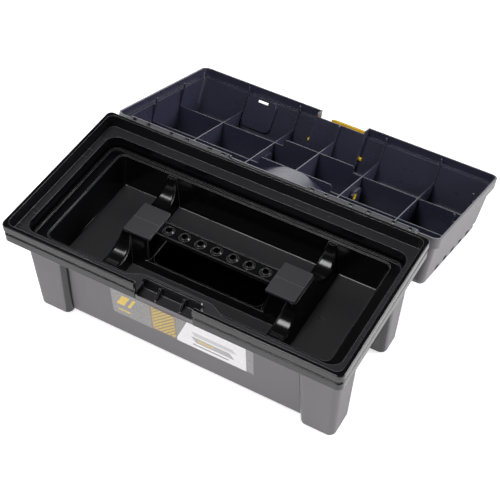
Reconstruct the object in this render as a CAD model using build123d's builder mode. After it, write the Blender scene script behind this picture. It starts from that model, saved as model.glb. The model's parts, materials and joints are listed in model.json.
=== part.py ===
"""Open tool box with a lift-out tray, a divided lid, a latch and a carry handle, in millimetres."""

import math
import os

from build123d import *

os.makedirs("parts", exist_ok=True)

# General
WALL = 2.5
FIT = 0.3
RUNNING_FIT = 0.08

# Frame: x along the box, y from front to back, z up; the origin is on the floor under the open box's middle
BASE_Y = -138.25

# Base rim, sizes from the middle of the base
RIM_TOP = 164.0
RIM_X = 230.0
RIM_Y = 118.0
RIM_R = 8.0
LIP_LOW = 155.0
LIP_ROUND = 2.0
NECK_STEP = 2.6
TIER_TOP = 149.0
TIER_LOW = 138.0
TIER_STEP = 0.6
TIER_ROUND = 2.0
UPSTAND_T = 5.4
UPSTAND_R = 9.0

# Shelf, collar and tray ledge inside the rim
SHELF_TOP = 145.0
COLLAR_X = 214.0
COLLAR_FRONT = -95.0
COLLAR_BACK = 98.0
COLLAR_R = 16.0
LEDGE_TOP = 124.0
BULGE_FOOT_X = 70.0
BULGE_HEAD_X = 46.0
BULGE_Y = -84.5
BULGE_R = 10.0

# Tub below the ledge
TUB_LOW = 4.0
TUB_TOP_X = 201.5
TUB_TOP_FRONT = -85.5
TUB_TOP_BACK = 95.5
TUB_LOW_X = 194.0
TUB_LOW_FRONT = -80.0
TUB_LOW_BACK = 91.0
TUB_R = 16.0

# Legs at the tub's corners
LEG_TOP_IN_X = 160.0
LEG_TOP_OUT_X = 219.0
LEG_TOP_FRONT_Y = (-95.0, -38.0)
LEG_TOP_BACK_Y = (47.0, 98.0)
LEG_LOW_IN_X = 167.0
LEG_LOW_OUT_X = 213.5
LEG_LOW_FRONT_Y = (-90.0, -44.0)
LEG_LOW_BACK_Y = (52.5, 91.5)
LEG_R = 9.0
FOOT_ROUND = 3.0

# Catch pocket in the middle of the front rim
CATCH_X = 39.5
CATCH_BACK_Y = -95.0
CATCH_BACK_TOP = 156.5
CATCH_R = 9.0
SILL_Y = -111.5
SILL_TOP = 137.5
SILL_T = 3.0
CATCH_RIB_X = 16.5
CATCH_RIB_T = 2.2
CATCH_RIB_TOP = 150.0

# Raised pad on the front shelf
PAD_X0 = -153.0
PAD_X1 = -115.0
PAD_Y0 = -112.8
PAD_Y1 = -100.0
PAD_H = 3.0
PAD_DIMPLE_X = -141.0
PAD_DIMPLE_R = 2.0
PAD_BUMP_X = -128.0
PAD_BUMP_L = 9.0
PAD_BUMP_W = 4.0
PAD_BUMP_R = 1.8
PAD_BUMP_H = 1.5

# Hinge
HINGE_FROM_BASE = 130.0
HINGE_Z = 149.8
HINGE_R = 5.0
ROD_R = 2.0
HOOK_XS = (64.0, 84.0, 118.0, 142.0, 176.0, 198.0)
HOOK_T = 5.0
HOOK_ARM_LOW = 140.0
HOOK_ARM_TOP = 148.8
BARREL_X0 = 57.0
BARREL_X1 = 205.0
BARREL_WEB = 6.0
OPEN_TILT = 20.5

# Label on the front wall
LABEL_L = 202.0
LABEL_H = 47.0
LABEL_T = 0.3
LABEL_R = 2.0
LABEL_Z = 65.0

# Tray
TRAY_GAP = 2.5
TRAY_T = 2.0
FLANGE_T = 2.5
BEAD_H = 2.5
BEAD_T = 2.5
TRAY_TOP_X = 195.0
TRAY_TOP_FRONT = -79.5
TRAY_TOP_BACK = 89.0
TRAY_FLOOR = 83.0
TRAY_LOW_X = 187.0
TRAY_LOW_FRONT = -69.0
TRAY_LOW_BACK = 79.0
TRAY_R = 9.0
TRAY_LOW_R = 5.0
TRAY_FLOOR_R = 3.0
TRAY_STEP = 1.2
TRAY_STEP_H = 1.5
DIMPLE_X = 145.0
DIMPLE_Y = 4.0
DIMPLE_R = 3.5
DIMPLE_H = 0.8
HUMP_LOW_X = (100.5, 132.0)
HUMP_TOP_X = (110.0, 122.0)
HUMP_ROUND = 4.0
SWOOP_R = 28.0
SWOOP_BACK_Y = 56.5
SWOOP_FRONT_Y = -50.0
PILLAR_LOW_X = (76.0, 130.0)
PILLAR_TOP_X = (85.0, 118.0)
PILLAR_LOW_Y = (-34.5, 41.5)
PILLAR_TOP_Y = (-19.0, 26.0)
PILLAR_R = 6.0
RIDGE_TOP = 94.5
RIDGE_LOW_Y = (-34.5, 41.5)
RIDGE_TOP_Y = (-29.5, 36.5)
HAND_HOLE_X = 77.8
HAND_HOLE_LIP = 2.2
HAND_HOLE_R = 12.0

# Tray handle: bar and pads
PADS_TOP = 127.0
PADS_T = 3.6
PADS_X = (81.0, 120.0)
PADS_Y = (-22.0, 29.0)
PADS_R = 2.0
BAR_Y = (-8.8, 15.2)
BAR_T = 6.0
BAR_RIM = 1.6
BAR_RIM_H = 1.2
HOLE_COUNT = 7
HOLE_PITCH = 22.8
HOLE_R = 4.3
RING_R = 7.4
RING_H = 2.0
RING_SLOPE = 35.0
SEAM_W = 0.5
SEAM_H = 0.3

# Lid, in its own frame: x as above, u from the hinge to the lid's front, w from the hinge to the lid's top
SKIRT_SIDE_GAP = 1.4
SKIRT_END_GAP = 0.5
SKIRT_T = 2.4
SKIRT_LOW = 3.0
RIM_REST = 0.4
ROOF_T = 2.4
LID_H = 80.0
SHOULDER_SIDE_STEP = 4.2
SHOULDER_REAR_STEP = 3.4
SHOULDER_FRONT_STEP = 5.9
SIDE_TAPER = 3.6
REAR_TAPER = 6.4
FRONT_TAPER = 19.6
FRONT_ROUND = 25.0
REAR_ROUND = 15.0
EDGE_ROUND = 8.0
SLOT_COUNT = 6
SLOT_START_U = 67.0
SLOT_PITCH = 30.0
SLOT_L = 14.0
SLOT_H = 6.0
SLOT_R = 2.5
SLOT_DROP = 11.0
SLOT_SKIN = 1.5

# Lid dividers
PLATE_T = 1.6
CROSS_XS = (-152.5, -68.5, 0.0, 68.5, 152.5)
CROSS_TOP = 40.0
MIDDLE_TOP = 30.0
TAB_TOP = 4.5
TAB_T = 2.5
TAB_GAP = 0.5
MIDDLE_RIB = 5.0
PARTITION_US = (172.6, 96.1)
PARTITION_TALL_X = 55.0
PARTITION_ROUND = 4.0

# Latch and its pocket in the lid
LATCH_GAP = 0.8
LATCH_U = 231.5
LATCH_W = 44.5
LATCH_OPEN = 69.0
LATCH_BARREL_R = 5.0
LATCH_PIN_R = 3.0
LATCH_PIN_OUT = 3.6
LATCH_T = 3.0
LATCH_R = 8.0
LATCH_KNEE_W = 14.0
SILL_CLEAR = 2.6
BARB_CATCH = 3.0
BARB_H = 3.0
POCKET_T = 2.0
POCKET_GAP = 0.5
POCKET_HEAD_U = 237.5
POCKET_FOOT_U = 221.5
POCKET_FOOT_W = 56.0
POCKET_EDGE_W = 7.6

# Niche in the lid's front wall
NICHE_X = (-148.0, -104.0)
NICHE_DEPTH = 6.0
NICHE_S = (2.5, 46.0)
NICHE_R = 8.0
NICHE_SLOT_X = (-132.0, -116.0)
NICHE_SLOT_S = (4.0, 7.5)

# Carry handle and its recess in the lid's top
ARM_X = 69.5
ARM_T = 7.0
ARM_GAP = 0.6
PIVOT_U = 139.5
PIVOT_W = 56.5
PIVOT_R = 4.5
PIVOT_OUT = 0.8
ARM_R = 5.0
ARM_LEVEL = 72.0
ELBOW_R = 5.0
GRIP_U = 71.0
GRIP_W = 16.0
GRIP_T = 11.0
GRIP_ROUND = 3.0
RECESS_GAP = 1.2
RECESS_T = 1.5
HOUSING_R = 6.0
SCOOP_X = 60.0
SCOOP_U = (46.1, 92.6)
SCOOP_TOP = 30.0
SCOOP_R = 80.0


def deck(z):
    """Level plane on the base's own middle."""
    return Plane(origin=(0, BASE_Y, z))


def side(x):
    """Upright plane across the box, seen from the right, on the base's own middle."""
    return Plane(origin=(x, BASE_Y, 0), x_dir=(0, 1, 0), z_dir=(1, 0, 0))


def turned(angle):
    """Direction across the box at an angle in degrees from straight back, turning upwards."""
    return Vector(0, math.cos(math.radians(angle)), math.sin(math.radians(angle)))


LID_Y_DIR = turned(180 - OPEN_TILT)
LID_Z_DIR = turned(270 - OPEN_TILT)
HINGE_Y = BASE_Y + HINGE_FROM_BASE
HINGE = Vector(0, HINGE_Y, HINGE_Z)


def lid_deck(w):
    """Plane of the open lid, parallel to its rim; its y runs from the front to the hinge."""
    return Plane(origin=HINGE, x_dir=(1, 0, 0), z_dir=LID_Z_DIR).offset(w)


def lid_side(x):
    """Plane across the open lid, with minus u as x and w as y."""
    return Plane(origin=HINGE + Vector(x, 0, 0), x_dir=LID_Y_DIR, z_dir=(1, 0, 0))


def lid_front(u):
    """Plane along the open lid at a distance u from the hinge, with x as x and w as y."""
    return Plane(origin=HINGE - LID_Y_DIR * u, x_dir=(1, 0, 0), z_dir=LID_Y_DIR * -1)


def outline(plane, xs, ys, radius):
    """Rounded rectangle between two x and two y values."""
    with BuildSketch(plane) as drawn:
        with Locations(((xs[0] + xs[1]) / 2, (ys[0] + ys[1]) / 2)):
            RectangleRounded(xs[1] - xs[0], ys[1] - ys[0], radius)
    return drawn.sketch


def block(plane, xs, ys):
    """Plain rectangle between two x and two y values."""
    with BuildSketch(plane) as drawn:
        with Locations(((xs[0] + xs[1]) / 2, (ys[0] + ys[1]) / 2)):
            Rectangle(xs[1] - xs[0], ys[1] - ys[0])
    return drawn.sketch


def profile(plane, points, rounds=()):
    """Closed polygon, with rounded corners given as pairs of a corner's number and its radius."""
    with BuildSketch(plane) as drawn:
        with BuildLine():
            Polyline(*points, close=True)
        make_face()
        for corner, radius in rounds:
            fillet(drawn.vertices().sort_by_distance((*points[corner], 0))[0], radius)
    return drawn.sketch


def disc(plane, centre, radius):
    """Circle about a point of a plane."""
    with BuildSketch(plane) as drawn:
        with Locations(centre):
            Circle(radius)
    return drawn.sketch


def flip(us):
    """Two u values as the lid's y values."""
    return (-us[1], -us[0])


def grown(span, by):
    """A span widened at both ends."""
    return (span[0] - by, span[1] + by)


def both(half):
    """A span on either side of the middle."""
    return (-half, half)


# Base tub
LEGS = [(s, LEG_TOP_FRONT_Y, LEG_LOW_FRONT_Y) for s in (-1, 1)]
LEGS += [(s, LEG_TOP_BACK_Y, LEG_LOW_BACK_Y) for s in (-1, 1)]
SHELF_LOW = SHELF_TOP - WALL
COLLAR_YS = (COLLAR_FRONT, COLLAR_BACK)
TUB_TOP_YS = (TUB_TOP_FRONT, TUB_TOP_BACK)
TUB_LOW_YS = (TUB_LOW_FRONT, TUB_LOW_BACK)


def span_of(sign, inner, outer):
    """Span of x on one side of the box."""
    return (inner, outer) if sign > 0 else (-outer, -inner)


with BuildPart() as base:
    extrude(
        outline(deck(TIER_LOW), both(RIM_X - TIER_STEP), both(RIM_Y - TIER_STEP), RIM_R),
        amount=TIER_TOP - TIER_LOW,
    )
    fillet(base.edges().group_by(Axis.Z)[-1], TIER_ROUND)
    extrude(
        outline(deck(TIER_TOP), both(RIM_X - NECK_STEP), both(RIM_Y - NECK_STEP), RIM_R - NECK_STEP),
        amount=LIP_LOW - TIER_TOP,
    )
    extrude(outline(deck(LIP_LOW), both(RIM_X), both(RIM_Y), RIM_R), amount=RIM_TOP - LIP_LOW)
    fillet(base.edges().group_by(Axis.Z)[-1], LIP_ROUND)
    inset = TIER_STEP + WALL
    extrude(
        outline(deck(TIER_LOW), both(RIM_X - inset), both(RIM_Y - inset), RIM_R - inset),
        amount=SHELF_LOW - TIER_LOW,
        mode=Mode.SUBTRACT,
    )
    extrude(
        outline(deck(LEDGE_TOP - WALL), both(COLLAR_X + WALL), grown(COLLAR_YS, WALL), COLLAR_R + WALL),
        amount=SHELF_TOP - LEDGE_TOP + WALL,
    )
    loft(
        [
            outline(deck(LEDGE_TOP), both(TUB_TOP_X), TUB_TOP_YS, TUB_R),
            outline(deck(TUB_LOW), both(TUB_LOW_X), TUB_LOW_YS, TUB_R),
        ]
    )
    for sign, top_ys, low_ys in LEGS:
        loft(
            [
                outline(deck(SHELF_LOW), span_of(sign, LEG_TOP_IN_X, LEG_TOP_OUT_X), top_ys, LEG_R),
                outline(deck(0), span_of(sign, LEG_LOW_IN_X, LEG_LOW_OUT_X), low_ys, LEG_R),
            ]
        )
    fillet(base.edges().group_by(Axis.Z)[0], FOOT_ROUND)
    extrude(
        outline(deck(SHELF_TOP), both(RIM_X - UPSTAND_T), both(RIM_Y - UPSTAND_T), UPSTAND_R),
        amount=RIM_TOP - SHELF_TOP,
        mode=Mode.SUBTRACT,
    )
    extrude(
        outline(deck(LEDGE_TOP), both(COLLAR_X), COLLAR_YS, COLLAR_R),
        amount=RIM_TOP - LEDGE_TOP,
        mode=Mode.SUBTRACT,
    )
    loft(
        [
            outline(deck(LEDGE_TOP), both(TUB_TOP_X - WALL), grown(TUB_TOP_YS, -WALL), TUB_R - WALL),
            outline(deck(TUB_LOW + WALL), both(TUB_LOW_X - WALL), grown(TUB_LOW_YS, -WALL), TUB_R - WALL),
        ],
        mode=Mode.SUBTRACT,
    )
    for sign, top_ys, low_ys in LEGS:
        loft(
            [
                outline(
                    deck(LEDGE_TOP - 2 * WALL),
                    span_of(sign, LEG_TOP_IN_X + WALL, LEG_TOP_OUT_X - 2 * WALL),
                    grown(top_ys, -2 * WALL),
                    LEG_R - WALL,
                ),
                outline(
                    deck(WALL),
                    span_of(sign, LEG_LOW_IN_X + WALL, LEG_LOW_OUT_X - WALL),
                    grown(low_ys, -WALL),
                    LEG_R - WALL,
                ),
            ],
            mode=Mode.SUBTRACT,
        )
    bulge = (
        (-BULGE_FOOT_X, COLLAR_FRONT - WALL / 2),
        (-BULGE_HEAD_X, BULGE_Y),
        (BULGE_HEAD_X, BULGE_Y),
        (BULGE_FOOT_X, COLLAR_FRONT - WALL / 2),
    )
    bulge_face = profile(deck(LEDGE_TOP - WALL), bulge, [(1, BULGE_R), (2, BULGE_R)])
    extrude(bulge_face, amount=SHELF_TOP - LEDGE_TOP + WALL)
    front_cut = (-RIM_Y - WALL, CATCH_BACK_Y - WALL)
    extrude(block(deck(SILL_TOP), both(CATCH_X), front_cut), amount=RIM_TOP, mode=Mode.SUBTRACT)
    catch_wall = profile(
        Plane(origin=(0, BASE_Y + CATCH_BACK_Y, 0), x_dir=(1, 0, 0), z_dir=(0, -1, 0)),
        (
            (-CATCH_X - WALL, SHELF_LOW),
            (CATCH_X + WALL, SHELF_LOW),
            (CATCH_X + WALL, CATCH_BACK_TOP),
            (-CATCH_X - WALL, CATCH_BACK_TOP),
        ),
        [(2, CATCH_R), (3, CATCH_R)],
    )
    extrude(catch_wall, amount=WALL)
    sill = block(deck(SILL_TOP - SILL_T), both(CATCH_X + WALL), (SILL_Y, CATCH_BACK_Y - WALL / 2))
    extrude(sill, amount=SILL_T)
    extrude(
        block(deck(SILL_TOP - SILL_T), both(CATCH_X), (-RIM_Y - WALL, SILL_Y)),
        amount=RIM_TOP,
        mode=Mode.SUBTRACT,
    )
    for x in (-CATCH_RIB_X, CATCH_RIB_X):
        rib = (
            (SILL_Y + CATCH_RIB_T / 2, SILL_TOP - WALL / 2),
            (CATCH_BACK_Y - WALL / 2, SILL_TOP - WALL / 2),
            (CATCH_BACK_Y - WALL / 2, CATCH_RIB_TOP),
        )
        extrude(profile(side(x), rib), amount=CATCH_RIB_T / 2, both=True)
    for s in (-1, 1):
        cheek = (
            (SILL_Y, SILL_TOP - SILL_T),
            (CATCH_BACK_Y - WALL / 2, SILL_TOP - SILL_T),
            (CATCH_BACK_Y - WALL / 2, CATCH_BACK_TOP - CATCH_R),
            (SILL_Y - WALL, SHELF_TOP),
        )
        extrude(profile(side(s * (CATCH_X + WALL / 2)), cheek), amount=WALL / 2, both=True)
    extrude(block(deck(SHELF_TOP - WALL / 2), (PAD_X0, PAD_X1), (PAD_Y0, PAD_Y1)), amount=PAD_H + WALL / 2)
    pad_y = (PAD_Y0 + PAD_Y1) / 2
    pad_dimple = disc(deck(SHELF_TOP + PAD_H), (PAD_DIMPLE_X, pad_y), PAD_DIMPLE_R)
    extrude(pad_dimple, amount=-PAD_BUMP_H, mode=Mode.SUBTRACT)
    bump = (grown((PAD_BUMP_X, PAD_BUMP_X), PAD_BUMP_L / 2), grown((pad_y, pad_y), PAD_BUMP_W / 2))
    extrude(outline(deck(SHELF_TOP + PAD_H), *bump, PAD_BUMP_R), amount=PAD_BUMP_H)
    arm_root = RIM_Y - TIER_STEP - WALL / 2
    hook = (
        (arm_root, HOOK_ARM_LOW),
        (arm_root, HOOK_ARM_TOP),
        (HINGE_FROM_BASE, HOOK_ARM_TOP),
        (HINGE_FROM_BASE, HINGE_Z - HINGE_R),
    )
    for x in [s * x for s in (-1, 1) for x in HOOK_XS]:
        extrude(profile(side(x), hook), amount=HOOK_T / 2, both=True)
        extrude(disc(side(x), (HINGE_FROM_BASE, HINGE_Z), HINGE_R), amount=HOOK_T / 2, both=True)
        extrude(
            disc(side(x), (HINGE_FROM_BASE, HINGE_Z), ROD_R + RUNNING_FIT),
            amount=HOOK_T,
            both=True,
            mode=Mode.SUBTRACT,
        )
base.part.label = "base_tub"
export_step(base.part, "parts/base_tub.step")

# Front label
lean = math.degrees(math.atan2(TUB_LOW_FRONT - TUB_TOP_FRONT, LEDGE_TOP - TUB_LOW))
label_share = (LABEL_Z - TUB_LOW) / (LEDGE_TOP - TUB_LOW)
label_y = TUB_LOW_FRONT + (TUB_TOP_FRONT - TUB_LOW_FRONT) * label_share
label_plane = Plane(origin=(0, BASE_Y + label_y, LABEL_Z), x_dir=(1, 0, 0), z_dir=turned(180 + lean))
with BuildPart() as label:
    extrude(outline(label_plane, both(LABEL_L / 2), both(LABEL_H / 2), LABEL_R), amount=LABEL_T)
label.part.label = "front_label"
export_step(label.part, "parts/front_label.step")

# Tray pan
FLANGE_LOW = LEDGE_TOP + FIT
FLANGE_TOP = FLANGE_LOW + FLANGE_T
PILLAR_TOP = PADS_TOP - PADS_T
TRAY_TOP_YS = (TRAY_TOP_FRONT, TRAY_TOP_BACK)
TRAY_LOW_YS = (TRAY_LOW_FRONT, TRAY_LOW_BACK)


def humps(inset):
    """Two dividers, their pillars and the ridge between, all set in by the given skin."""
    low = TRAY_FLOOR - TRAY_T
    with BuildPart() as made:
        for sign in (-1, 1):
            span = grown(TRAY_LOW_YS, -inset) if inset else grown(TRAY_TOP_YS, TRAY_T)
            loft(
                [
                    block(deck(low), span_of(sign, *grown(HUMP_LOW_X, -inset)), span),
                    block(deck(PILLAR_TOP), span_of(sign, *grown(HUMP_TOP_X, -inset)), span),
                ]
            )
            for y in (SWOOP_FRONT_Y, SWOOP_BACK_Y):
                extrude(
                    disc(side(sign * HUMP_LOW_X[0]), (y, PADS_TOP), SWOOP_R + inset),
                    amount=HUMP_LOW_X[1],
                    both=True,
                    mode=Mode.SUBTRACT,
                )
        fillet(made.edges().filter_by(GeomType.ELLIPSE), HUMP_ROUND - inset)
        for sign in (-1, 1):
            loft(
                [
                    outline(
                        deck(low),
                        span_of(sign, *grown(PILLAR_LOW_X, -inset)),
                        grown(PILLAR_LOW_Y, -inset),
                        PILLAR_R - inset,
                    ),
                    outline(
                        deck(PILLAR_TOP - inset),
                        span_of(sign, *grown(PILLAR_TOP_X, -inset)),
                        grown(PILLAR_TOP_Y, -inset),
                        PILLAR_R - inset,
                    ),
                ]
            )
        loft(
            [
                block(deck(low), both(HUMP_LOW_X[0]), grown(RIDGE_LOW_Y, -inset)),
                block(deck(RIDGE_TOP - inset), both(HUMP_LOW_X[0]), grown(RIDGE_TOP_Y, -inset)),
            ]
        )
    return made.part


with BuildPart() as tray_space:
    loft(
        [
            outline(deck(FLANGE_TOP), both(TRAY_TOP_X), TRAY_TOP_YS, TRAY_R),
            outline(deck(TRAY_FLOOR), both(TRAY_LOW_X), TRAY_LOW_YS, TRAY_LOW_R),
        ]
    )
    fillet(tray_space.edges().group_by(Axis.Z)[0], TRAY_FLOOR_R)
    add(humps(0), mode=Mode.SUBTRACT)
    step_ys = grown(TRAY_TOP_YS, TRAY_STEP)
    step = outline(deck(FLANGE_TOP), both(TRAY_TOP_X + TRAY_STEP), step_ys, TRAY_R + TRAY_STEP)
    extrude(step, amount=-TRAY_STEP_H)
    extrude(disc(deck(TRAY_FLOOR), (DIMPLE_X, DIMPLE_Y), DIMPLE_R), amount=-DIMPLE_H)

with BuildSketch(deck(FLANGE_LOW)) as flange:
    add(outline(Plane.XY, both(COLLAR_X - TRAY_GAP), grown(COLLAR_YS, -TRAY_GAP), COLLAR_R - TRAY_GAP))
    add(
        profile(
            Plane.XY,
            (
                (-BULGE_FOOT_X - TRAY_GAP, COLLAR_FRONT),
                (-BULGE_HEAD_X - TRAY_GAP, BULGE_Y + TRAY_GAP),
                (BULGE_HEAD_X + TRAY_GAP, BULGE_Y + TRAY_GAP),
                (BULGE_FOOT_X + TRAY_GAP, COLLAR_FRONT),
            ),
            [(1, BULGE_R), (2, BULGE_R)],
        ),
        mode=Mode.SUBTRACT,
    )
with BuildSketch(deck(FLANGE_LOW)) as bead:
    add(flange.sketch_local)
    offset(flange.sketch_local, amount=-BEAD_T, mode=Mode.SUBTRACT)

outer_top_ys = grown(TRAY_TOP_YS, TRAY_T)
outer_low_ys = grown(TRAY_LOW_YS, TRAY_T)
OUTER_LOW_R = TRAY_LOW_R + TRAY_T
with BuildPart() as tray:
    loft(
        [
            outline(deck(FLANGE_TOP), both(TRAY_TOP_X + TRAY_T), outer_top_ys, TRAY_R + TRAY_T),
            outline(deck(TRAY_FLOOR - TRAY_T), both(TRAY_LOW_X + TRAY_T), outer_low_ys, OUTER_LOW_R),
        ]
    )
    fillet(tray.edges().group_by(Axis.Z)[0], TRAY_FLOOR_R)
    extrude(flange.sketch, amount=FLANGE_T)
    extrude(bead.sketch, amount=FLANGE_T + BEAD_H)
    add(tray_space.part, mode=Mode.SUBTRACT)
    add(humps(TRAY_T), mode=Mode.SUBTRACT)
    hand_hole_ys = grown(RIDGE_TOP_Y, -HAND_HOLE_LIP)
    hand_hole = outline(deck(RIDGE_TOP + FIT), both(HAND_HOLE_X), hand_hole_ys, HAND_HOLE_R)
    extrude(hand_hole, amount=-2 * TRAY_T, mode=Mode.SUBTRACT)
tray.part.label = "tray_pan"
export_step(tray.part, "parts/tray_pan.step")

# Tray handle
with BuildPart() as tray_handle:
    for sign in (-1, 1):
        extrude(outline(deck(PILLAR_TOP), span_of(sign, *PADS_X), PADS_Y, PADS_R), amount=PADS_T)
    fillet(tray_handle.edges().group_by(Axis.Z)[-1], BAR_RIM_H)
    extrude(block(deck(PADS_TOP - BAR_T), both(PADS_X[0] + BAR_RIM), BAR_Y), amount=BAR_T)
    extrude(
        block(deck(PADS_TOP - BAR_RIM_H), both(PADS_X[0]), grown(BAR_Y, -BAR_RIM)),
        amount=BAR_RIM_H,
        mode=Mode.SUBTRACT,
    )
    hole_y = (BAR_Y[0] + BAR_Y[1]) / 2
    for i in range(HOLE_COUNT):
        spot = ((i - (HOLE_COUNT - 1) / 2) * HOLE_PITCH, hole_y)
        extrude(disc(deck(PADS_TOP - BAR_RIM_H), spot, RING_R), amount=RING_H, taper=RING_SLOPE)
        extrude(disc(deck(PADS_TOP - BAR_T), spot, HOLE_R), amount=BAR_T + RING_H, mode=Mode.SUBTRACT)
    for sign in (-1, 1):
        seam = block(deck(PADS_TOP), span_of(sign, *PADS_X), grown((hole_y, hole_y), SEAM_W / 2))
        extrude(seam, amount=-SEAM_H, mode=Mode.SUBTRACT)
tray_handle.part.label = "tray_handle"
export_step(tray_handle.part, "parts/tray_handle.step")

# Lid shell
LID_X = RIM_X + SKIRT_SIDE_GAP + SKIRT_T
LID_REAR_U = HINGE_FROM_BASE - RIM_Y - SKIRT_END_GAP - SKIRT_T
LID_FRONT_U = HINGE_FROM_BASE + RIM_Y + SKIRT_END_GAP + SKIRT_T
LID_R = RIM_R + SKIRT_END_GAP + SKIRT_T
SKIRT_US = (LID_REAR_U, LID_FRONT_U)
SKIRT_H = RIM_TOP + RIM_REST - HINGE_Z
SHOULDER_X = LID_X - SHOULDER_SIDE_STEP
SHOULDER_US = (LID_REAR_U + SHOULDER_REAR_STEP, LID_FRONT_U - SHOULDER_FRONT_STEP)
CROWN_X = SHOULDER_X - SIDE_TAPER
CROWN_US = (SHOULDER_US[0] + REAR_TAPER, SHOULDER_US[1] - FRONT_TAPER)
INTO_LID = Axis(HINGE, LID_Z_DIR)
BEYOND = LID_H + LID_R
ARM_REACH = ARM_T / 2 + ARM_GAP
PIVOT_REACH = ARM_REACH + RECESS_T + PIVOT_OUT
TROUGH_FLOOR = ARM_LEVEL - GRIP_T / 2 - RECESS_GAP
LEG_REACH = ARM_LEVEL - PIVOT_W + ARM_R
HOUSING_US = (PIVOT_U - ARM_R - RECESS_GAP, PIVOT_U + LEG_REACH + RECESS_GAP)
HOUSING_LOW = PIVOT_W - ARM_R - RECESS_GAP
GRIP_US = grown((GRIP_U, GRIP_U), GRIP_W / 2 + RECESS_GAP)
POCKET_X = CATCH_X - POCKET_GAP - POCKET_T
LATCH_X = POCKET_X - LATCH_GAP
LATCH_PIN_X = POCKET_X + POCKET_T + LATCH_PIN_OUT
FRONT_LEAN = math.atan2(FRONT_TAPER, LID_H - SKIRT_H)


def lid_slope(depth):
    """Plane along the lid's sloping front wall, a depth inside its outer face, with x as x."""
    outward = LID_Z_DIR * math.sin(FRONT_LEAN) - LID_Y_DIR * math.cos(FRONT_LEAN)
    start = HINGE - LID_Y_DIR * SHOULDER_US[1] + LID_Z_DIR * SKIRT_H
    return Plane(origin=start - outward * depth, x_dir=(1, 0, 0), z_dir=outward)


def lid_bulk(by):
    """Lid beyond its skirt, set in by the given wall."""
    rear, front = grown(SHOULDER_US, -by)
    crown_rear, crown_front = grown(CROWN_US, -by)
    top = LID_H - by
    edge = [(-rear, SKIRT_H), (-crown_rear, top), (-crown_front, top), (-front, SKIRT_H)]
    ends = [(SHOULDER_X - by, SKIRT_H), (CROWN_X - by, top)]
    ends += [(-x, w) for x, w in reversed(ends)]
    with BuildPart() as made:
        rounds = [(1, REAR_ROUND - by), (2, FRONT_ROUND - by)]
        extrude(profile(lid_side(0), edge, rounds), amount=LID_X, both=True)
        extrude(profile(lid_front(0), ends), amount=LID_FRONT_U, mode=Mode.INTERSECT)
        faces = made.faces().sort_by(Axis.X)
        rims = [face.edges().sort_by(INTO_LID)[1:] for face in (faces[0], faces[-1])]
        fillet(rims[0] + rims[1], EDGE_ROUND - by)
    return made.part


def pocket_back(w):
    """Distance of the latch pocket's back from the hinge."""
    return POCKET_HEAD_U - (POCKET_HEAD_U - POCKET_FOOT_U) * w / POCKET_FOOT_W


def pocket(by):
    """Side view of the latch pocket, widened by the given wall."""
    edge = [
        (-pocket_back(0), 0),
        (-POCKET_FOOT_U, POCKET_FOOT_W),
        (-LID_FRONT_U, POCKET_FOOT_W),
        (-LID_FRONT_U, 0),
    ]
    with BuildSketch(lid_side(0)) as drawn:
        add(profile(Plane.XY, edge))
        if by:
            offset(amount=by, kind=Kind.INTERSECTION)
    return drawn.sketch


def scoop(by):
    """Front view of the finger scoop under the grip, widened by the given wall."""
    with BuildSketch(lid_front(SCOOP_U[0] - by)) as drawn:
        with Locations((0, SCOOP_TOP + SCOOP_R)):
            Circle(SCOOP_R + by)
        with Locations((0, BEYOND / 2)):
            Rectangle(2 * (SCOOP_X + by), BEYOND, mode=Mode.INTERSECT)
    return drawn.sketch


def recesses(by):
    """Everything sunk into the lid from outside, widened by the given wall."""
    with BuildPart() as made:
        for x in (-ARM_X, ARM_X):
            arm_xs = grown((x, x), ARM_REACH + by)
            trough_us = grown((GRIP_US[0], HOUSING_US[1]), by)
            extrude(block(lid_deck(TROUGH_FLOOR - by), arm_xs, flip(trough_us)), amount=BEYOND)
            housing_ws = (HOUSING_LOW - by, BEYOND)
            housing = outline(lid_side(x), flip(grown(HOUSING_US, by)), housing_ws, HOUSING_R + by)
            extrude(housing, amount=ARM_REACH + by, both=True)
        grip_xs = both(ARM_X + ARM_REACH + by)
        extrude(block(lid_deck(TROUGH_FLOOR - by), grip_xs, flip(grown(GRIP_US, by))), amount=BEYOND)
        extrude(scoop(by), amount=SCOOP_U[1] - SCOOP_U[0] + 2 * by)
        extrude(pocket(by), amount=POCKET_X + by, both=True)
        niche = outline(lid_slope(NICHE_DEPTH + by), grown(NICHE_X, by), grown(NICHE_S, by), NICHE_R + by)
        extrude(niche, amount=NICHE_DEPTH + by + WALL)
    return made.part


with BuildPart() as lid_space:
    add(lid_bulk(WALL))
    skirt_us = grown(SKIRT_US, -SKIRT_T)
    skirt = outline(lid_deck(SKIRT_LOW), both(LID_X - SKIRT_T), flip(skirt_us), LID_R - SKIRT_T)
    extrude(skirt, amount=SKIRT_H - SKIRT_LOW)
    add(recesses(RECESS_T), mode=Mode.SUBTRACT)

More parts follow.
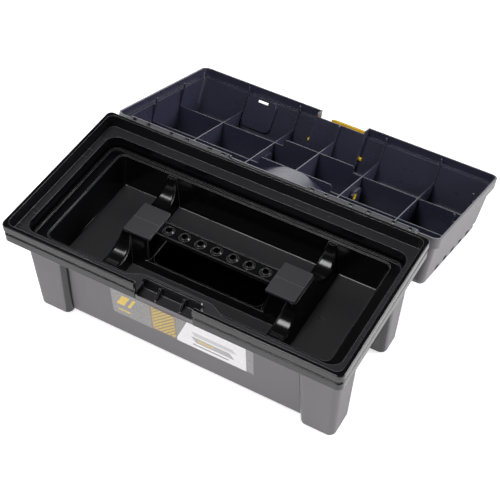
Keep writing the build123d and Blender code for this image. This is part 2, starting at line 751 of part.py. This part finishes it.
with BuildPart() as lid:
    add(lid_bulk(0))
    skirt = outline(lid_deck(SKIRT_LOW), both(LID_X), flip(SKIRT_US), LID_R)
    extrude(skirt, amount=SKIRT_H + ROOF_T - SKIRT_LOW)
    add(lid_space.part, mode=Mode.SUBTRACT)
    add(recesses(0), mode=Mode.SUBTRACT)
    edge_us = (pocket_back(POCKET_EDGE_W) - 2 * POCKET_T, LID_FRONT_U)
    edge_cut = block(lid_deck(0), both(POCKET_X), flip(edge_us))
    extrude(edge_cut, amount=POCKET_EDGE_W, mode=Mode.SUBTRACT)
    niche_slot = block(lid_slope(NICHE_DEPTH + WALL), NICHE_SLOT_X, NICHE_SLOT_S)
    extrude(niche_slot, amount=2 * WALL, mode=Mode.SUBTRACT)
    slot_w = LID_H - SLOT_DROP
    for s, slot_x in ((-1, CROWN_X - WALL + SLOT_SKIN), (1, CROWN_X - 2 * WALL)):
        cut_xs = span_of(s, slot_x, LID_X)
        for i in range(SLOT_COUNT):
            slot_u = SLOT_START_U + i * SLOT_PITCH
            slot_us = grown((slot_u, slot_u), SLOT_L / 2)
            slot = outline(lid_side(cut_xs[0]), flip(slot_us), grown((slot_w, slot_w), SLOT_H / 2), SLOT_R)
            extrude(slot, amount=cut_xs[1] - cut_xs[0], mode=Mode.SUBTRACT)
    for s in (-1, 1):
        start = lid_side(BARREL_X0 if s > 0 else -BARREL_X1)
        barrel_l = BARREL_X1 - BARREL_X0
        extrude(disc(start, (0, 0), HINGE_R), amount=barrel_l)
        extrude(block(start, (-LID_REAR_U - SKIRT_T / 2, 0), (0, BARREL_WEB)), amount=barrel_l)
        for x in HOOK_XS:
            gap = block(lid_side(s * x), (-LID_REAR_U, 2 * HINGE_R), both(2 * HINGE_R))
            extrude(gap, amount=HOOK_T / 2 + 2 * FIT, both=True, mode=Mode.SUBTRACT)
        extrude(disc(start, (0, 0), ROD_R + RUNNING_FIT), amount=barrel_l, mode=Mode.SUBTRACT)
        pin = disc(lid_side(s * POCKET_X), (-LATCH_U, LATCH_W), LATCH_PIN_R + RUNNING_FIT)
        extrude(pin, amount=LATCH_PIN_X - POCKET_X + FIT, both=True, mode=Mode.SUBTRACT)
        pivot = disc(lid_side(s * ARM_X), (-PIVOT_U, PIVOT_W), PIVOT_R + RUNNING_FIT)
        extrude(pivot, amount=2 * PIVOT_REACH, both=True, mode=Mode.SUBTRACT)
lid.part.label = "lid_shell"
export_step(lid.part, "parts/lid_shell.step")

# Hinge rods
for s, word in ((-1, "left"), (1, "right")):
    with BuildPart() as rod:
        start = lid_side(BARREL_X0 if s > 0 else -BARREL_X1)
        extrude(disc(start, (0, 0), ROD_R), amount=BARREL_X1 - BARREL_X0)
    rod.part.label = "hinge_rod_" + word
    export_step(rod.part, "parts/hinge_rod_" + word + ".step")

# Plates across the lid
FRONT_SLOPE = FRONT_TAPER / (LID_H - WALL - SKIRT_H)
SIDE_SLOPE = SIDE_TAPER / (LID_H - WALL - SKIRT_H)
TAB_FRONT_U = HINGE_FROM_BASE + RIM_Y - UPSTAND_T - TAB_GAP
TAB_SIDE_X = RIM_X - UPSTAND_T - TAB_GAP
TAB_LOW = SKIRT_H + FIT


def front_wall(w):
    """Distance of the front wall's inner face from the hinge."""
    return SHOULDER_US[1] - WALL - (w - SKIRT_H) * FRONT_SLOPE


def cross_plate(x):
    """One plate across the lid, with a tab that climbs the front wall."""
    if x:
        top = CROSS_TOP
        climb = [
            (front_wall(top) - PLATE_T, top),
            (TAB_FRONT_U - TAB_T, TAB_LOW),
            (TAB_FRONT_U - TAB_T, TAB_TOP),
            (TAB_FRONT_U, TAB_TOP),
            (TAB_FRONT_U, TAB_LOW),
            (LID_FRONT_U, TAB_LOW),
            (LID_FRONT_U, LID_H),
        ]
    else:
        top = MIDDLE_TOP
        climb = [
            (pocket_back(top) - POCKET_T - MIDDLE_RIB, top),
            (pocket_back(POCKET_EDGE_W) - POCKET_T - MIDDLE_RIB, POCKET_EDGE_W),
            (pocket_back(POCKET_EDGE_W), POCKET_EDGE_W),
            (POCKET_FOOT_U, POCKET_FOOT_W),
            (POCKET_FOOT_U, LID_H),
        ]
    edge = [(0, top), *climb, (0, LID_H)]
    with BuildPart() as made:
        extrude(profile(lid_side(x), [(-u, w) for u, w in edge]), amount=PLATE_T / 2, both=True)
        add(lid_space.part, mode=Mode.INTERSECT)
    return made.part


plates = [cross_plate(x) for x in CROSS_XS]
for number, plate in enumerate(plates, 1):
    plate.label = "lid_divider_" + str(number)
    export_step(plate, "parts/lid_divider_" + str(number) + ".step")

# Plates along the lid
for u, word in zip(PARTITION_US, ("front", "rear")):
    with BuildPart() as partition:
        side_x = SHOULDER_X - WALL - (CROSS_TOP - SKIRT_H) * SIDE_SLOPE - PLATE_T
        right = [
            (PARTITION_TALL_X, MIDDLE_TOP),
            (PARTITION_TALL_X, CROSS_TOP),
            (side_x, CROSS_TOP),
            (TAB_SIDE_X - TAB_T, TAB_LOW),
            (TAB_SIDE_X - TAB_T, TAB_TOP),
            (TAB_SIDE_X, TAB_TOP),
            (TAB_SIDE_X, TAB_LOW),
            (LID_X, TAB_LOW),
            (LID_X, LID_H),
        ]
        edge = right + [(-x, w) for x, w in reversed(right)]
        rounds = [(0, PARTITION_ROUND), (len(edge) - 1, PARTITION_ROUND)]
        extrude(profile(lid_front(u), edge, rounds), amount=PLATE_T / 2, both=True)
        add(lid_space.part, mode=Mode.INTERSECT)
        for plate in plates:
            add(plate, mode=Mode.SUBTRACT)
    partition.part.label = "lid_partition_" + word
    export_step(partition.part, "parts/lid_partition_" + word + ".step")

# Latch, flipped open about its own pivot
LATCH_Y_DIR = turned(180 - OPEN_TILT - LATCH_OPEN)
LATCH_PIVOT = HINGE - LID_Y_DIR * LATCH_U + LID_Z_DIR * LATCH_W
latch_plane = Plane(origin=LATCH_PIVOT, x_dir=LATCH_Y_DIR, z_dir=(1, 0, 0))
latch_front = Plane(origin=LATCH_PIVOT, x_dir=(1, 0, 0), z_dir=LATCH_Y_DIR * -1)
SILL_U = HINGE_FROM_BASE - SILL_Y
LATCH_FACE_U = SILL_U + SILL_CLEAR
BARB_U = SILL_U - BARB_CATCH
BARB_TOP_W = SILL_TOP - SILL_T - FIT - HINGE_Z
LATCH_TIP_W = BARB_TOP_W - BARB_H
latch_edge = [
    (LATCH_U + LATCH_T / 2, LATCH_W - LATCH_T),
    (LATCH_FACE_U, LATCH_KNEE_W),
    (LATCH_FACE_U, BARB_TOP_W),
    (BARB_U, BARB_TOP_W),
    (BARB_U, LATCH_TIP_W),
    (LATCH_FACE_U + LATCH_T, LATCH_TIP_W),
    (LATCH_FACE_U + LATCH_T, LATCH_KNEE_W),
    (LATCH_U + LATCH_T, LATCH_W + LATCH_T),
]
with BuildPart() as latch:
    flap = profile(latch_plane, [(LATCH_U - u, w - LATCH_W) for u, w in latch_edge])
    extrude(flap, amount=LATCH_X, both=True)
    face_ws = (LATCH_TIP_W - LATCH_W, LATCH_W)
    face = outline(latch_front, both(LATCH_X), face_ws, LATCH_R)
    extrude(face, amount=LID_H, both=True, mode=Mode.INTERSECT)
    extrude(disc(latch_plane, (0, 0), LATCH_BARREL_R), amount=LATCH_X, both=True)
    extrude(disc(latch_plane, (0, 0), LATCH_PIN_R), amount=LATCH_PIN_X, both=True)
latch.part.label = "latch"
export_step(latch.part, "parts/latch.step")

# Carry handle, folded into the lid
with BuildPart() as handle:
    grip_us = grown((GRIP_U, GRIP_U), GRIP_W / 2)
    grip_ws = grown((ARM_LEVEL, ARM_LEVEL), GRIP_T / 2)
    grip_end = lid_side(-ARM_X - ARM_T / 2)
    extrude(outline(grip_end, flip(grip_us), grip_ws, GRIP_ROUND), amount=2 * ARM_X + ARM_T)
    for x in (-ARM_X, ARM_X):
        arm_edge = [
            (GRIP_U, ARM_LEVEL - ARM_R),
            (GRIP_U, ARM_LEVEL + ARM_R),
            (PIVOT_U + ARM_R, ARM_LEVEL + ARM_R),
            (PIVOT_U + ARM_R, PIVOT_W),
            (PIVOT_U - ARM_R, PIVOT_W),
            (PIVOT_U - ARM_R, ARM_LEVEL - ARM_R),
        ]
        arm = profile(lid_side(x), [(-u, w) for u, w in arm_edge], [(2, ELBOW_R)])
        extrude(arm, amount=ARM_T / 2, both=True)
        extrude(disc(lid_side(x), (-PIVOT_U, PIVOT_W), ARM_R), amount=ARM_T / 2, both=True)
        extrude(disc(lid_side(x), (-PIVOT_U, PIVOT_W), PIVOT_R), amount=PIVOT_REACH, both=True)
handle.part.label = "carry_handle"
export_step(handle.part, "parts/carry_handle.step")
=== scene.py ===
"""Looks for the open tool box: finishes of its mouldings and sticker, hole lips, floor, light and camera."""

import json
import math

import bpy
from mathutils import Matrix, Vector


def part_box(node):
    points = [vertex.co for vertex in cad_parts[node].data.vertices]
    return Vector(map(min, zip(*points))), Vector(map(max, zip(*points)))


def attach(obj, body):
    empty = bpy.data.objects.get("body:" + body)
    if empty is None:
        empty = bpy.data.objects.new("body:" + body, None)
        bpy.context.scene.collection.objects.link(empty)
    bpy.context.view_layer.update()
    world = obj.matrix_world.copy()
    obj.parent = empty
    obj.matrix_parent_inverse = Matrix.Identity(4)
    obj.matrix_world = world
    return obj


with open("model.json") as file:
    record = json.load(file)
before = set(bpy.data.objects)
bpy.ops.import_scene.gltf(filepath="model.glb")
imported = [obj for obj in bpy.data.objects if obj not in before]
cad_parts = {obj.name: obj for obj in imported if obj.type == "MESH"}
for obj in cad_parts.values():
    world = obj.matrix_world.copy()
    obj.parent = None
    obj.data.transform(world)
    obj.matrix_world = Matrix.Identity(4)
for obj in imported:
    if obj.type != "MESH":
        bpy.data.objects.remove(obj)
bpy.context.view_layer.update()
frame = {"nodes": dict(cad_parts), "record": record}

# Places and sizes in the frame, in metres
rod_low, rod_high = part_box("hinge_rod_left")
HINGE_Y = (rod_low.y + rod_high.y) / 2
HINGE_Z = (rod_low.z + rod_high.z) / 2
LID_TILT = math.radians(20.5)
LID_ALONG = Vector((0.0, math.cos(LID_TILT), -math.sin(LID_TILT)))
LID_DOWN = Vector((0.0, -math.sin(LID_TILT), -math.cos(LID_TILT)))
LID_MIDDLE = Vector((0.0, HINGE_Y, HINGE_Z)) + LID_ALONG * 0.127 + LID_DOWN * 0.02
LID_AXES = ((1, 0, 0), LID_ALONG, LID_DOWN)
LID_HALVES = (0.23, 0.118, 0.06)
BASE_Y = HINGE_Y - 0.13
BASE_MIDDLE = Vector((0.0, BASE_Y, 0.12))
BASE_AXES = ((1, 0, 0), (0, 1, 0), (0, 0, 1))
BASE_HALVES = (0.23, 0.118, 0.1)
RIM_BOTTOM = 0.138
LEDGES_BOTTOM = 0.115
LEDGES_TOP = 0.1495
TRAY_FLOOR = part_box("tray_pan")[0].z + 0.002
PAD_START_X = 0.08085
HOLE_COUNT = 7
HOLE_PITCH = 0.0228
HOLE_Y = BASE_Y + 0.0032
HOLE_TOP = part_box("tray_handle")[1].z
LIP_RING_R = 0.0053
LIP_R = 0.0008
LIP_SINK = 0.0003

# Scales of the marks in the mouldings, per metre
FINE_GRAIN = 2300.0
MOTTLING = 1500.0
RUBS = 60.0
FLOW_MARKS = 26.0
CLOUDS = 8.0

# Depths of the marks, rounding of the edges and borders between finishes, in metres
GRAIN_DEPTH = 0.00006
DRAW_LINE_DEPTH = 0.00003
EDGE_ROUND = 0.001
SOFT_BORDER = 0.0005
PRINT_BORDER = 0.0003

# How much each mark changes the colour, the roughness or the height of a finish
# Share of the painted highlight along the edges, which stands in for light catching the rounded edges
EDGE_HIGHLIGHT_SHARE = 0.6
RUB_WEAR = 0.03
RUB_ROUGHNESS = 0.08
FLOW_ROUGHNESS = 0.06
CLOUD_ROUGHNESS = 0.1
GRAINED_ROUGHNESS = 0.5
POLISHED_GRAIN = 0.1
FLOW_HEIGHT = 0.1
GRAINED_GRAIN = 1.2
MOTTLE_CONTRAST = 0.35
CLOUD_CONTRAST = 0.15
MOTTLE_DIM = 0.6
MOTTLE_BRIGHT = 1.4
# Share of the paler grained tone on the ledges: grain, and painted light on their up-facing tops
LEDGE_PAINTED_LIGHT_SHARE = 0.3

# Colours of the mouldings, linear
CHARCOAL = (0.14, 0.133, 0.144, 1)
BLACK = (0.0035, 0.0035, 0.0045, 1)
# Pale grey painted along the edges as a highlight, and also the colour of the rub wear
HIGHLIGHT_AND_RUB_GREY = (0.3, 0.297, 0.31, 1)
LID_INSIDE = (0.042, 0.043, 0.075, 1)
# Lid: pale grey painted along the edges as a highlight, and also the colour of the rub wear
LID_HIGHLIGHT_AND_RUB = (0.15, 0.151, 0.19, 1)
TRAY_FLOOR_GREY = (0.027, 0.027, 0.03, 1)
PAD_GREY = (0.058, 0.057, 0.062, 1)
YELLOW = (0.92, 0.6, 0.015, 1)
# Yellow: paler yellow painted along the edges as a highlight, and also the colour of the rub wear
YELLOW_HIGHLIGHT_AND_RUB = (0.95, 0.74, 0.15, 1)


def add_node(tree, kind, settings=None, sockets=None):
    """Adds a node: its settings are set first, then each socket named gets its value or link."""
    node = tree.nodes.new(kind)
    for key, value in (settings or {}).items():
        setattr(node, key, value)
    for key, value in (sockets or {}).items():
        if isinstance(value, Value):
            value = value.socket
        if isinstance(value, bpy.types.NodeSocket):
            tree.links.new(value, node.inputs[key])
        else:
            node.inputs[key].default_value = value
    return node


class Value:
    """A shader socket that takes part in Python sums; each sum adds a Math node."""

    def __init__(self, tree, socket):
        self.tree = tree
        self.socket = socket

    def math(self, operation, first, second):
        node = add_node(self.tree, "ShaderNodeMath", {"operation": operation}, {0: first, 1: second})
        return Value(self.tree, node.outputs[0])

    def __add__(self, other):
        return self.math("ADD", self, other)

    def __radd__(self, other):
        return self.math("ADD", other, self)

    def __sub__(self, other):
        return self.math("SUBTRACT", self, other)

    def __rsub__(self, other):
        return self.math("SUBTRACT", other, self)

    def __mul__(self, other):
        return self.math("MULTIPLY", self, other)

    def __rmul__(self, other):
        return self.math("MULTIPLY", other, self)

    def __truediv__(self, other):
        return self.math("DIVIDE", self, other)

    def __rtruediv__(self, other):
        return self.math("DIVIDE", other, self)

    def __abs__(self):
        return self.math("ABSOLUTE", self, 0.0)

    def sine(self):
        return self.math("SINE", self, 0.0)

    def larger(self, other):
        return self.math("MAXIMUM", self, other)

    def smaller(self, other):
        return self.math("MINIMUM", self, other)


class Paint:
    """One material and the nodes that make its finish."""

    def __init__(self, name):
        self.material = bpy.data.materials.new(name)
        self.material.use_nodes = True
        self.tree = self.material.node_tree
        self.tree.nodes.clear()
        spots = self.add("ShaderNodeTexCoord")
        self.place = spots.outputs["Object"]
        self.facing = spots.outputs["Normal"]

    def add(self, kind, settings=None, sockets=None):
        return add_node(self.tree, kind, settings, sockets)

    def value(self, socket):
        return Value(self.tree, socket)

    def noise(self, scale, detail=3.0, rough=0.6, stretch=(1, 1, 1)):
        """Soft noise over the object, with its scale per metre."""
        place = self.add("ShaderNodeMapping", None, {"Vector": self.place, "Scale": stretch})
        sockets = {"Vector": place.outputs[0], "Scale": scale, "Detail": detail, "Roughness": rough}
        node = self.add("ShaderNodeTexNoise", {"noise_dimensions": "3D"}, sockets)
        return self.value(node.outputs["Fac"])

    def axis(self, letter):
        """One coordinate of the object, in metres."""
        return self.value(self.add("ShaderNodeSeparateXYZ", None, {0: self.place}).outputs[letter])

    def dot(self, first, second):
        """Dot product of two vectors, such as a length along a direction."""
        node = self.add("ShaderNodeVectorMath", {"operation": "DOT_PRODUCT"}, {0: first, 1: second})
        return self.value(node.outputs["Value"])

    def outward(self, middle, axes, halves):
        """Above 0 on faces that look away from the middle of a box, and about 1 on the box's outside."""
        total = 0.0
        for axis, half in zip(axes, halves):
            reach = (self.dot(self.place, axis) - Vector(axis).dot(middle)) / half
            total = total + self.dot(self.facing, axis) * reach
        return total

    def upward(self):
        """1 on faces that look up, within about 20 degrees."""
        return self.above(self.dot(self.facing, (0, 0, 1)), 0.935, 0.035)

    def mix(self, share, first, second):
        """Colour between two colours."""
        node = self.add("ShaderNodeMix", {"data_type": "RGBA"}, {0: share, 6: first, 7: second})
        return node.outputs[2]

    def ramp(self, value, low, high):
        """A value rescaled so that low gives 0 and high gives 1, clamped."""
        sockets = {"Value": value, "From Min": low, "From Max": high}
        return self.value(self.add("ShaderNodeMapRange", {"clamp": True}, sockets).outputs[0])

    def above(self, value, level, soft=SOFT_BORDER):
        """1 where a value is above a level, with a soft border."""
        return self.ramp(value, level - soft, level + soft)

    def below(self, value, level, soft=SOFT_BORDER):
        """1 where a value is below a level, with a soft border."""
        return self.ramp(value, level + soft, level - soft)

    def edges(self, radius):
        """1 along the edges of a moulding and 0 on its flats, and a normal that rounds those edges."""
        rounded = self.add("ShaderNodeBevel", {"samples": 4}, {"Radius": radius}).outputs[0]
        flat = self.add("ShaderNodeNewGeometry").outputs["Normal"]
        return self.ramp(self.dot(rounded, flat), 0.995, 0.8), rounded

    def bump(self, height, depth, sockets=None):
        """A normal that follows a height, of a depth in metres."""
        sockets = {"Height": height, "Distance": depth, "Strength": 1.0, **(sockets or {})}
        return self.add("ShaderNodeBump", None, sockets).outputs[0]

    def show(self, shader):
        """The material, with this shader on its surface."""
        self.add("ShaderNodeOutputMaterial", None, {"Surface": shader.outputs[0]})
        return self.material

    def finish(self, sockets):
        """The material, with a Principled surface."""
        return self.show(self.add("ShaderNodeBsdfPrincipled", None, sockets))


def shaded(colour, factor):
    """A colour made darker or brighter."""
    return tuple(part * factor for part in colour[:3]) + (1,)


def moulded_plastic(name, smooth, edge, gloss, grained=None, skin=None):
    """Moulded plastic: polished, or grained where skin says so, with flow marks, rubs and a painted
    highlight along its edges.
    """
    paint = Paint(name)
    # Mask of the edges for the painted edge highlight, and a normal that rounds them
    edge_highlight, rounded = paint.edges(EDGE_ROUND)
    fine = paint.noise(FINE_GRAIN, 2.0)
    cloud = paint.noise(CLOUDS, 4.0)
    streak = paint.noise(FLOW_MARKS, 4.0, 0.62, (0.5, 3.0, 1.0))
    rub = paint.above(paint.noise(RUBS, 6.0, 0.72, (1.0, 3.5, 1.0)), 0.71, 0.09)
    tone = smooth
    rough = gloss + (cloud - 0.5) * CLOUD_ROUGHNESS + (streak - 0.5) * FLOW_ROUGHNESS + rub * RUB_ROUGHNESS
    height = (fine - 0.5) * POLISHED_GRAIN + streak * FLOW_HEIGHT
    if skin:
        share = skin(paint)
        specks = (paint.noise(MOTTLING, 2.0) - 0.5) * MOTTLE_CONTRAST
        mottle = 0.5 + specks + (cloud - 0.5) * CLOUD_CONTRAST
        skin_tone = paint.mix(mottle, shaded(grained, MOTTLE_DIM), shaded(grained, MOTTLE_BRIGHT))
        tone = paint.mix(share, tone, skin_tone)
        rough = rough + share * (GRAINED_ROUGHNESS - gloss)
        height = height + share * (fine - 0.5) * GRAINED_GRAIN
    # Edges painted paler as a highlight, and rubs as paler wear
    tone = paint.mix((edge_highlight * EDGE_HIGHLIGHT_SHARE + rub * RUB_WEAR).smaller(1.0), tone, edge)
    normal = paint.bump(height, GRAIN_DEPTH, {"Normal": rounded})
    look = {"Base Color": tone, "Roughness": rough, "Normal": normal, "IOR": 1.5, "Specular IOR Level": 0.6}
    return paint.finish(look)


def base_skin(paint):
    """1 on the grained outer walls of the base, below its rim, and a part of that on its ledges, whose
    up-facing tops are grained and painted lighter as if lit from above.
    """
    height = paint.axis("Z")
    away = paint.outward(BASE_MIDDLE, BASE_AXES, BASE_HALVES)
    walls = paint.above(away, 0.525, 0.075) * paint.below(height, RIM_BOTTOM)
    # Up-facing ledge tops: grained, and painted lighter as if lit from above
    ledges = paint.upward() * paint.above(height, LEDGES_BOTTOM, 0.005) * paint.below(height, LEDGES_TOP)
    return walls.larger(ledges * LEDGE_PAINTED_LIGHT_SHARE)


def lid_skin(paint):
    """1 on the grained outside of the lid."""
    return paint.above(paint.outward(LID_MIDDLE, LID_AXES, LID_HALVES), 0.77, 0.05)


def floor_skin(paint):
    """1 on the grained floor of the tray."""
    return paint.upward() * paint.below(paint.axis("Z"), TRAY_FLOOR + 0.0025)


def pad_skin(paint):
    """1 on the two grained pads of the tray's handle."""
    return paint.above(abs(paint.axis("X")), PAD_START_X, 0.00035)


def drawn_wire():
    """Plain steel wire with draw lines."""
    paint = Paint("rod_wire")
    lines = paint.noise(900.0, 3.0, 0.6, (0.05, 1.0, 1.0))
    tone = paint.mix(lines, (0.4, 0.4, 0.41, 1), (0.62, 0.62, 0.63, 1))
    normal = paint.bump(lines, DRAW_LINE_DEPTH)
    look = {"Base Color": tone, "Roughness": 0.3 + lines * 0.15, "Metallic": 1.0, "Normal": normal}
    return paint.finish(look)


def printed_film():
    """Sticker with plain colour fields, lozenges and bars under a clear film."""
    paint = Paint("sticker_film")
    x = paint.axis("X")
    z = paint.axis("Z")
    fibre = paint.noise(600.0)
    cloud = paint.noise(25.0)
    slate = paint.mix(cloud, (0.2, 0.19, 0.19, 1), (0.27, 0.255, 0.25, 1))
    white = paint.mix(fibre, (0.87, 0.85, 0.88, 1), (0.95, 0.93, 0.96, 1))
    yellow = paint.mix(cloud, (0.72, 0.48, 0.02, 1), (0.86, 0.6, 0.04, 1))
    brown = paint.mix(cloud, (0.16, 0.11, 0.07, 1), (0.24, 0.17, 0.11, 1))
    dark_grey = (0.1, 0.1, 0.105, 1)
    margin_grey = (0.24, 0.232, 0.245, 1)
    mid_grey = (0.42, 0.41, 0.43, 1)
    pale_grey = (0.6, 0.59, 0.61, 1)

    def band(value, low, high):
        """1 between two values, with soft borders."""
        return paint.above(value, low, PRINT_BORDER) * paint.below(value, high, PRINT_BORDER)

    # Ground: slate on the left, white on the right, and a brown column of yellow lozenges between them
    tone = paint.mix(paint.above(x - z * 0.4, -0.026, PRINT_BORDER), slate, white)
    tone = paint.mix(band(x, -0.044, -0.007), tone, brown)
    lozenge_turn = 2.0 * math.pi / 0.0123
    weave = ((x + z) * lozenge_turn).sine() * ((x - z) * lozenge_turn).sine()
    lozenges = paint.above(abs(weave), 0.4, 0.04) * band(x, -0.042, -0.009) * band(z, 0.044, 0.086)
    tone = paint.mix(lozenges, tone, yellow)

    # Bars: each has a way of slanting, a span across the sticker, a span in height and a colour
    slant = x - z * 0.5
    lean = x + z * 0.7
    bars = (
        (slant, (-0.125, -0.114), (0.062, 0.082), yellow),
        (slant, (-0.109, -0.105), (0.062, 0.082), yellow),
        (slant, (-0.118, -0.1), (0.05, 0.053), yellow),
        (lean, (0.058, 0.112), (0.0535, 0.0635), mid_grey),
        (lean, (0.066, 0.124), (0.0665, 0.0735), pale_grey),
        (lean, (0.064, 0.086), (0.057, 0.06), yellow),
        (lean, (0.05, 0.1), (0.0475, 0.0495), dark_grey),
        (x, (0.0905, 0.2), (0.0, 0.2), margin_grey),
    )
    for across, span, heights, colour in bars:
        tone = paint.mix(band(across, *span) * band(z, *heights), tone, colour)
    look = {"Base Color": tone, "Roughness": 0.22 + fibre * 0.1, "Coat Weight": 0.4 + cloud * 0.2}
    look["Normal"] = paint.bump(cloud + fibre * 0.2, GRAIN_DEPTH)
    return paint.finish(look)


# Finishes on the slots of the CAD pieces
finishes = {
    "base_plastic": moulded_plastic("base_charcoal", BLACK, HIGHLIGHT_AND_RUB_GREY, 0.16, CHARCOAL, base_skin),
    "lid_plastic": moulded_plastic("lid_charcoal", LID_INSIDE, LID_HIGHLIGHT_AND_RUB, 0.28, CHARCOAL, lid_skin),
    "tray_plastic": moulded_plastic("tray_black", BLACK, HIGHLIGHT_AND_RUB_GREY, 0.17, TRAY_FLOOR_GREY, floor_skin),
    "yellow_plastic": moulded_plastic("fitting_yellow", YELLOW, YELLOW_HIGHLIGHT_AND_RUB, 0.34),
    "rod_steel": drawn_wire(),
    "label": printed_film(),
}
handle_finish = moulded_plastic("tray_handle_black", BLACK, HIGHLIGHT_AND_RUB_GREY, 0.17, PAD_GREY, pad_skin)
slots = {row["node"]: row["material_slot"] for row in frame["record"]["subparts"]}
for name, node in frame["nodes"].items():
    node.data.materials.clear()
    node.data.materials.append(handle_finish if name == "tray_handle" else finishes[slots[name]])


def row_of_lips(material):
    """Geometry Nodes tree of a row of rounded rings along x, and the identifiers of its inputs."""
    tree = bpy.data.node_groups.new("row_of_lips", "GeometryNodeTree")
    inputs = {
        "Count": "NodeSocketInt",
        "Pitch": "NodeSocketFloat",
        "Start": "NodeSocketVector",
        "Ring Radius": "NodeSocketFloat",
        "Lip Radius": "NodeSocketFloat",
    }
    names = {}
    for label, kind in inputs.items():
        names[label] = tree.interface.new_socket(label, in_out="INPUT", socket_type=kind).identifier
    tree.interface.new_socket("Geometry", in_out="OUTPUT", socket_type="NodeSocketGeometry")

    def make(kind, sockets):
        """The first output of a new node."""
        return add_node(tree, kind, None, sockets).outputs[0]

    given = add_node(tree, "NodeGroupInput").outputs
    step = make("ShaderNodeCombineXYZ", {"X": given["Pitch"]})
    spots = {"Count": given["Count"], "Start Location": given["Start"], "Offset": step}
    row = make("GeometryNodeMeshLine", spots)
    ring = make("GeometryNodeCurvePrimitiveCircle", {"Radius": given["Ring Radius"], "Resolution": 48})
    lip = make("GeometryNodeCurvePrimitiveCircle", {"Radius": given["Lip Radius"], "Resolution": 12})
    body = make("GeometryNodeCurveToMesh", {"Curve": ring, "Profile Curve": lip})
    placed = make("GeometryNodeInstanceOnPoints", {"Points": row, "Instance": body})
    plain = make("GeometryNodeRealizeInstances", {"Geometry": placed})
    smooth = make("GeometryNodeSetShadeSmooth", {"Geometry": plain})
    coated = make("GeometryNodeSetMaterial", {"Geometry": smooth, "Material": material})
    add_node(tree, "NodeGroupOutput", None, {"Geometry": coated})
    return tree, names


def hole_lips():
    """Rounded lips round the tool holes of the tray's bar, as one plain mesh."""
    tree, names = row_of_lips(handle_finish)
    maker = bpy.data.objects.new("lip_maker", bpy.data.meshes.new("lip_maker"))
    bpy.context.scene.collection.objects.link(maker)
    grow = maker.modifiers.new("lips", "NODES")
    grow.node_group = tree
    grow[names["Count"]] = HOLE_COUNT
    grow[names["Pitch"]] = HOLE_PITCH
    grow[names["Start"]] = (-(HOLE_COUNT - 1) / 2 * HOLE_PITCH, HOLE_Y, HOLE_TOP - LIP_SINK)
    grow[names["Ring Radius"]] = LIP_RING_R
    grow[names["Lip Radius"]] = LIP_R
    grown = maker.evaluated_get(bpy.context.evaluated_depsgraph_get())
    lips = bpy.data.objects.new("tool_hole_lips", bpy.data.meshes.new_from_object(grown))
    bpy.data.objects.remove(maker)
    bpy.context.scene.collection.objects.link(lips)
    return lips


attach(hole_lips(), "tray")


def white_floor():
    """Matt white that also glows for the camera and in reflections, so that it shows as white."""
    paint = Paint("floor_white")
    rays = paint.add("ShaderNodeLightPath").outputs
    seen = paint.value(rays["Is Camera Ray"]).larger(paint.value(rays["Is Glossy Ray"]))
    matt = paint.add("ShaderNodeBsdfDiffuse", None, {"Color": (0.9, 0.9, 0.9, 1)}).outputs[0]
    glow = paint.add("ShaderNodeEmission", None, {"Color": (1, 1, 1, 1), "Strength": 0.72}).outputs[0]
    both = paint.add("ShaderNodeAddShader", None, {0: matt, 1: glow}).outputs[0]
    return paint.show(paint.add("ShaderNodeMixShader", None, {0: seen, 1: matt, 2: both}))


bpy.ops.mesh.primitive_plane_add(size=14.0)
floor = bpy.context.object
floor.name = "floor"
floor.data.materials.append(white_floor())

# Studio light: a world that is bright at the horizon and dim above, and soft boxes
world = bpy.data.worlds.new("studio")
bpy.context.scene.world = world
world.use_nodes = True
sky = world.node_tree
way = add_node(sky, "ShaderNodeTexCoord").outputs["Generated"]
rise = add_node(sky, "ShaderNodeSeparateXYZ", None, {0: way}).outputs["Z"]
sky_levels = {"Value": rise, "From Min": 0.08, "From Max": 0.5, "To Min": 0.9, "To Max": 0.04}
fade = add_node(sky, "ShaderNodeMapRange", None, sky_levels).outputs[0]
sky.links.new(fade, sky.nodes["Background"].inputs["Color"])


def soft_box(name, place, aim, width, depth, power):
    """An area lamp pointed at a spot."""
    light = bpy.data.lights.new(name, "AREA")
    light.shape = "RECTANGLE"
    light.size = width
    light.size_y = depth
    light.energy = power
    lamp = bpy.data.objects.new(name, light)
    bpy.context.scene.collection.objects.link(lamp)
    lamp.location = place
    lamp.rotation_euler = (Vector(aim) - Vector(place)).to_track_quat("-Z", "Y").to_euler()


soft_box("right_light", (1.3, 0.45, 0.55), (0.1, 0.08, 0.08), width=0.8, depth=0.6, power=14.0)
soft_box("front_light", (-0.3, -1.9, 0.3), (0, -0.1, 0.08), width=1.6, depth=0.5, power=13.0)
soft_box("left_light", (-1.9, 0.1, 0.5), (0, 0, 0.08), width=1.0, depth=0.7, power=6.0)
soft_box("back_light", (-0.67, 1.85, 0.45), (0, 0.1, 0.08), width=1.6, depth=0.6, power=6.0)
soft_box("high_back_light", (-0.72, 1.78, 1.7), (0, -0.1, 0.1), width=1.1, depth=0.4, power=1.2)
soft_box("top_light", (-0.48, -0.66, 1.9), (0, 0.05, 0.08), width=0.9, depth=0.6, power=14.5)

# Camera, where the photograph was taken from
CAMERA_PLACE = (0.52835, -0.99589, 1.25212)
CAMERA_TURN = (41.931, -0.279, 29.5435)
lens = bpy.data.cameras.new("camera")
lens.sensor_width = 36.0
lens.lens = 89.436
lens.clip_end = 50.0
camera = bpy.data.objects.new("camera", lens)
bpy.context.scene.collection.objects.link(camera)
camera.location = CAMERA_PLACE
camera.rotation_euler = [math.radians(angle) for angle in CAMERA_TURN]
bpy.context.scene.camera = camera
bpy.context.scene.view_settings.view_transform = "Standard"
